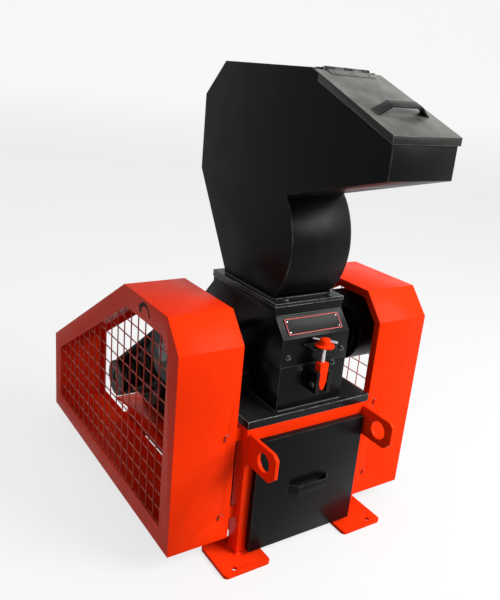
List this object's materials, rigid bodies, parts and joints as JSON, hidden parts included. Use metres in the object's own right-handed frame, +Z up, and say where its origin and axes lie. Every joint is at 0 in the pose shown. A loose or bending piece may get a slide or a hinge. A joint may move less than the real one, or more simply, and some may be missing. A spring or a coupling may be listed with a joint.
{
  "type": "plastic granulator",
  "caption": "Upright plastics granulator with a tall hinged hopper, a knife chamber on a welded stand, a belt drive and a flywheel under mesh guards, and a slide-out bin.",
  "frame": {"origin": "middle of the floor area, on the floor", "axes": "+Z up, the bin and the feed opening face -Y, +X is to the right seen from the front"},
  "size_m": [0.91, 1.3336, 1.444],
  "materials": {
    "orange_paint": "glossy orange-red paint",
    "black_paint": "satin black paint",
    "bright_steel": "bright machined steel",
    "knife_steel": "ground tool steel",
    "bolt_steel": "dark zinc and black oxide",
    "cast_grey": "machined grey iron",
    "motor_paint": "grey-green enamel on cast iron",
    "fan_plastic": "moulded black",
    "belt_rubber": "matt black rubber"
  },
  "bodies": {
    "machine": {"stand_frame": "orange_paint", "motor_frame": "orange_paint", "foot_plates": "orange_paint", "lifting_lugs": "orange_paint", "base_plate": "black_paint", "bin_runners": "black_paint", "lower_chamber": "black_paint", "bed_knives": "knife_steel", "bed_knife_bolts": "bolt_steel", "screen": "bright_steel", "screen_cradle": "black_paint", "discharge_chute": "black_paint", "bearing_pedestals": "black_paint", "bearings": "cast_grey", "bearing_bolts": "bolt_steel", "latch_cheeks": "black_paint", "latch_pin": "bolt_steel", "swing_bolt": "orange_paint", "chamber_hinge_pin": "bright_steel", "drive_belts": "belt_rubber", "motor_body": "motor_paint", "motor_fan_cover": "motor_paint", "terminal_box": "motor_paint", "motor_slide_rails": "black_paint", "motor_bolts": "bolt_steel", "motor_plate": "orange_paint", "motor_plate_pin": "bright_steel", "tension_bolts": "bright_steel", "belt_guard": "orange_paint", "flywheel_guard": "orange_paint", "guard_meshes": "orange_paint", "guard_fixings": "orange_paint"},
    "upper_housing": {"upper_chamber": "black_paint", "name_plate": "black_paint", "name_plate_rivets": "bright_steel", "hopper_flange": "black_paint", "hopper_left_side": "black_paint", "hopper_right_side": "black_paint", "hopper_back_sheet": "black_paint", "hopper_front_sheet": "black_paint", "flange_bolts": "bolt_steel", "lid_hinge_leaf": "black_paint", "lid_hinge_pin": "bright_steel"},
    "feed_lid": {"feed_lid": "black_paint", "lid_handle": "black_paint"},
    "bin": {"collecting_bin": "black_paint", "bin_front": "black_paint", "bin_handle": "black_paint"},
    "rotor": {"rotor_shaft": "bright_steel", "rotor_body": "cast_grey", "rotor_knives": "knife_steel", "rotor_knife_bolts": "bolt_steel", "flywheel": "black_paint", "rotor_pulley": "cast_grey"},
    "motor_rotor": {"motor_shaft": "bright_steel", "motor_fan": "fan_plastic", "motor_pulley": "cast_grey"},
    "nut_washer": {"nut_washer": "bright_steel"},
    "hat_nut": {"hat_nut": "orange_paint", "nut_cross_bar": "bright_steel"}
  },
  "joints": [
    {"name": "hopper_tilt", "type": "hinge", "parent": "machine", "child": "upper_housing", "pos_m": [0, 0.11083, 0.614], "axis": [-1, 0, 0], "range_deg": [0, 75]},
    {"name": "lid_hinge", "type": "hinge", "parent": "upper_housing", "child": "feed_lid", "pos_m": [0, -0.34717, 1.438], "axis": [-1, 0, 0], "range_deg": [0, 110]},
    {"name": "bin_slide", "type": "slide", "parent": "machine", "child": "bin", "axis": [0, -1, 0], "range_m": [0, 0.3]},
    {"name": "rotor_spin", "type": "hinge", "parent": "machine", "child": "rotor", "pos_m": [0, -0.13717, 0.612], "axis": [1, 0, 0], "continuous": true},
    {"name": "motor_spin", "type": "hinge", "parent": "machine", "child": "motor_rotor", "pos_m": [0, 0.21483, 0.36841], "axis": [1, 0, 0], "continuous": true},
    {"name": "nut_lift", "type": "slide", "parent": "upper_housing", "child": "nut_washer", "axis": [0, 0, 1], "range_m": [0, 0.014]},
    {"name": "nut_turn", "type": "hinge", "parent": "nut_washer", "child": "hat_nut", "pos_m": [0, -0.40517, 0.67], "axis": [0, 0, 1], "range_deg": [0, 2880]}
  ],
  "couplings": [
    {"joint": "motor_spin", "follows": "rotor_spin", "ratio": 1.4028},
    {"joint": "nut_lift", "follows": "nut_turn", "m_per_rad": 0.00027852}
  ]
}
